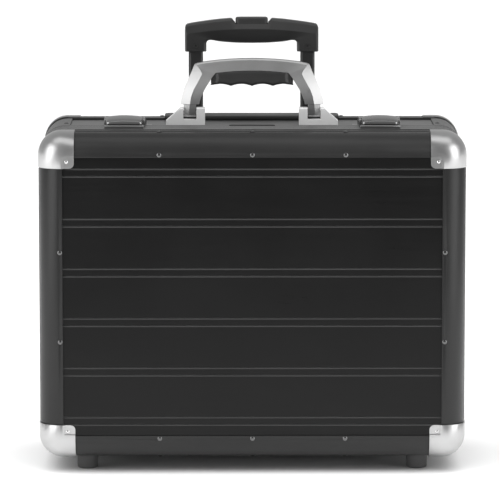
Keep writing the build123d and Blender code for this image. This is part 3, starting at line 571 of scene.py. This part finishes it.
# well of the release button, and sockets of the two tubes: half sizes, and heights above the case
WELL_X, WELL_Y, WELL_FLOOR, OVER_GRIP = 0.0188, 0.0094, 0.0985, 0.13
TUBE_X, SOCKET_X, SOCKET_Y, UNDER_GRIP, SOCKET_ROOF = 0.0633, 0.0082, 0.0101, 0.07, 0.0937
cut_box(bail, (-WELL_X, GRIP_Y - WELL_Y, TOP + WELL_FLOOR), (WELL_X, GRIP_Y + WELL_Y, TOP + OVER_GRIP))
for side in (-1, 1):
    cut_box(bail, (side * TUBE_X - SOCKET_X, GRIP_Y - SOCKET_Y, TOP + UNDER_GRIP),
            (side * TUBE_X + SOCKET_X, GRIP_Y + SOCKET_Y, TOP + SOCKET_ROOF))


# heights above the case, half width and half depth of the button, with a thumb dish in its top
BUTTON = [(102.9, 18.2, 8.8), (112.0, 18.4, 9.0), (113.2, 18.1, 8.8), (113.9, 17.4, 8.2),
          (114.2, 16.4, 7.4), (114.0, 14.0, 6.2), (113.6, 9.0, 4.4)]


def trolley_button():
    """Rounded rectangular button that stands in the well of the grip."""
    count = 40
    rings = []
    for z, half_x, half_y in BUTTON:
        corners = [rounded(2 * math.pi * k / count, 0.3) for k in range(count)]
        rings.append([Vector((x * half_x * MM, GRIP_Y + y * half_y * MM, TOP + z * MM)) for x, y in corners])
    points, faces = loft(rings)
    make("trolley_release_button", points, faces, "grip_black", "trolley_button", ["trolley_button"],
         bevel=0.3, segments=2, angle=40)


trolley_button()

# ---------------------------------------------------------------- latch levers

LATCH_X = 0.1416


def latch_profile(crown, inset):
    """Side profile of the lever in depth and height above the case, in mm."""
    front = 61.5 + inset
    return [(front + 7.5, 4.1), (front + 0.6, 4.1), (front, 4.7), (front - 0.05 + inset * 0.2, 6.6 * crown),
            (front + 0.5, 8.0 * crown), (front + 2.0, 9.2 * crown), (front + 6.0, 10.7 * crown),
            (77.0, 12.2 * crown), (85.0, 12.35 * crown), (92.0, 11.9 * crown), (98.0, 10.2 * crown),
            (102.5, 8.3 * crown), (105.4, 6.9), (106.3, 4.9), (105.2, 2.8), (103.0, 2.1), (90.0, 2.1),
            (71.5, 2.2)]


def latch_lever(name, side):
    """Domed cover: the same profile all along, lower and set back towards its rounded ends."""
    half, round_off, crown_loss, end_loss = 20.05, 3.4, 0.14, 0.05
    places = [half - round_off * (1 - math.cos(math.radians(a))) for a in (0, 22, 45, 67, 90)]
    places += [15, 12, 9, 6, 3]
    places = [-x for x in places] + [0] + places[::-1]
    rings = []
    for x in places:
        near_end = max(0.0, abs(x) - (half - round_off)) / round_off
        inset = round_off * (1 - math.sqrt(max(0.0, 1 - near_end ** 2)))
        crown = 1.0 - crown_loss * (abs(x) / half) ** 2 - end_loss * near_end
        rings.append([Vector((side * LATCH_X + x * MM, deep(d), TOP + z * MM))
                      for d, z in latch_profile(crown, inset)])
    points, faces = loft(rings)
    make(f"latch_cover_{name}", points, faces, "latch_metal", f"latch_lever_{name}",
         [f"latch_lever_{name}"], bevel=0.25, segments=2, angle=28)


latch_lever("left", -1)
latch_lever("right", 1)

# ---------------------------------------------------------------- studio


def floor_piece(name, low, high, glossy):
    """A flat part of the floor, from one corner to the other; glossy says whether reflections show it."""
    mesh = bpy.data.meshes.new(name)
    mesh.from_pydata([(low[0], low[1], 0), (high[0], low[1], 0), (high[0], high[1], 0), (low[0], high[1], 0)],
                     [], [(0, 1, 2, 3)])
    floor = bpy.data.objects.new(name, mesh)
    SCENE.collection.objects.link(floor)
    floor.data.materials.append(FLOOR)
    floor.visible_glossy = glossy


FLOOR = material("floor", grey(0.88), 0.8, specular=0.1)
AIM = (0, 0, 0.3)                      # where the soft boxes point
FRONT_GLOW, BACK_GLOW = 0.26, 0.5      # strength of the world in front of the case and behind it
SUN_STRENGTH, SUN_SPREAD, SUN_WAY = 3.15, 75, (0.05, 0.2, -1)
SIDE_PLACE, SIDE_SIZE, SIDE_RADIANCE = (1.9, -1.15, 0.98), (1.5, 1.9), 2.4
TOP_PLACE, TOP_SIZE, TOP_RADIANCE = (0, -0.5, 2.6), (3.2, 1.3), 1.0


def pointing(way):
    """Rotation of a lamp or camera that looks this way."""
    return Vector(way).to_track_quat("-Z", "Y").to_euler()


def soft_box(name, place, size, radiance):
    """A rectangular lamp whose brightness doesn't depend on its size."""
    data = bpy.data.lights.new(name, "AREA")
    data.shape = "RECTANGLE"
    data.size, data.size_y = size
    data.energy = radiance * math.pi * size[0] * size[1]
    lamp = bpy.data.objects.new(name, data)
    lamp.location = place
    lamp.rotation_euler = pointing(Vector(AIM) - Vector(place))
    SCENE.collection.objects.link(lamp)


def studio():
    """Floor, a world that is white only to the camera, a wide sun and three soft boxes."""
    reach = 60.0
    near = -1.3
    floor_piece("floor", (-reach, near), (reach, reach), True)
    floor_piece("floor_front", (-reach, -reach), (reach, near), False)

    world = bpy.data.worlds.new("studio")
    world.use_nodes = True
    tree = world.node_tree
    soft = tree.nodes["Background"]
    output = tree.nodes["World Output"]
    place = tree.nodes.new("ShaderNodeTexCoord")
    axes = tree.nodes.new("ShaderNodeSeparateXYZ")
    tree.links.new(place.outputs["Generated"], axes.inputs["Vector"])
    behind = tree.nodes.new("ShaderNodeMapRange")
    behind.inputs["From Min"].default_value = 0.1
    behind.inputs["From Max"].default_value = 0.8
    behind.inputs["To Min"].default_value = FRONT_GLOW
    behind.inputs["To Max"].default_value = BACK_GLOW
    tree.links.new(axes.outputs["Y"], behind.inputs["Value"])
    tree.links.new(behind.outputs["Result"], soft.inputs["Strength"])
    soft.inputs["Color"].default_value = (1, 1, 1, 1)
    white = tree.nodes.new("ShaderNodeBackground")
    white.inputs["Color"].default_value = (1, 1, 1, 1)
    white.inputs["Strength"].default_value = 1.0
    rays = tree.nodes.new("ShaderNodeLightPath")
    choose = tree.nodes.new("ShaderNodeMixShader")
    tree.links.new(rays.outputs["Is Camera Ray"], choose.inputs["Fac"])
    tree.links.new(soft.outputs["Background"], choose.inputs[1])
    tree.links.new(white.outputs["Background"], choose.inputs[2])
    tree.links.new(choose.outputs["Shader"], output.inputs["Surface"])
    SCENE.world = world

    sun = bpy.data.lights.new("overhead", "SUN")
    sun.energy = SUN_STRENGTH
    sun.angle = math.radians(SUN_SPREAD)
    lamp = bpy.data.objects.new("overhead", sun)
    lamp.rotation_euler = pointing(SUN_WAY)
    lamp.visible_glossy = False
    SCENE.collection.objects.link(lamp)
    out, forward, up = SIDE_PLACE
    for name, side in (("left", -1), ("right", 1)):
        soft_box(f"softbox_{name}", (side * out, forward, up), SIDE_SIZE, SIDE_RADIANCE)
    soft_box("softbox_top", TOP_PLACE, TOP_SIZE, TOP_RADIANCE)


def camera():
    """A long lens from in front and slightly above, as in the photo."""
    data = bpy.data.cameras.new("camera")
    data.sensor_width = 36
    data.lens = 278.8
    data.clip_start, data.clip_end = 0.05, 200
    cam = bpy.data.objects.new("camera", data)
    cam.location = (-0.021, -4.31685, 0.810)
    yaw, pitch = math.radians(0.25), math.radians(7.60)
    forward = Vector((math.sin(yaw) * math.cos(pitch), math.cos(yaw) * math.cos(pitch),
                      -math.sin(pitch)))
    cam.rotation_euler = pointing(forward)
    SCENE.collection.objects.link(cam)
    SCENE.camera = cam


studio()
camera()
SCENE.view_settings.view_transform = "Standard"
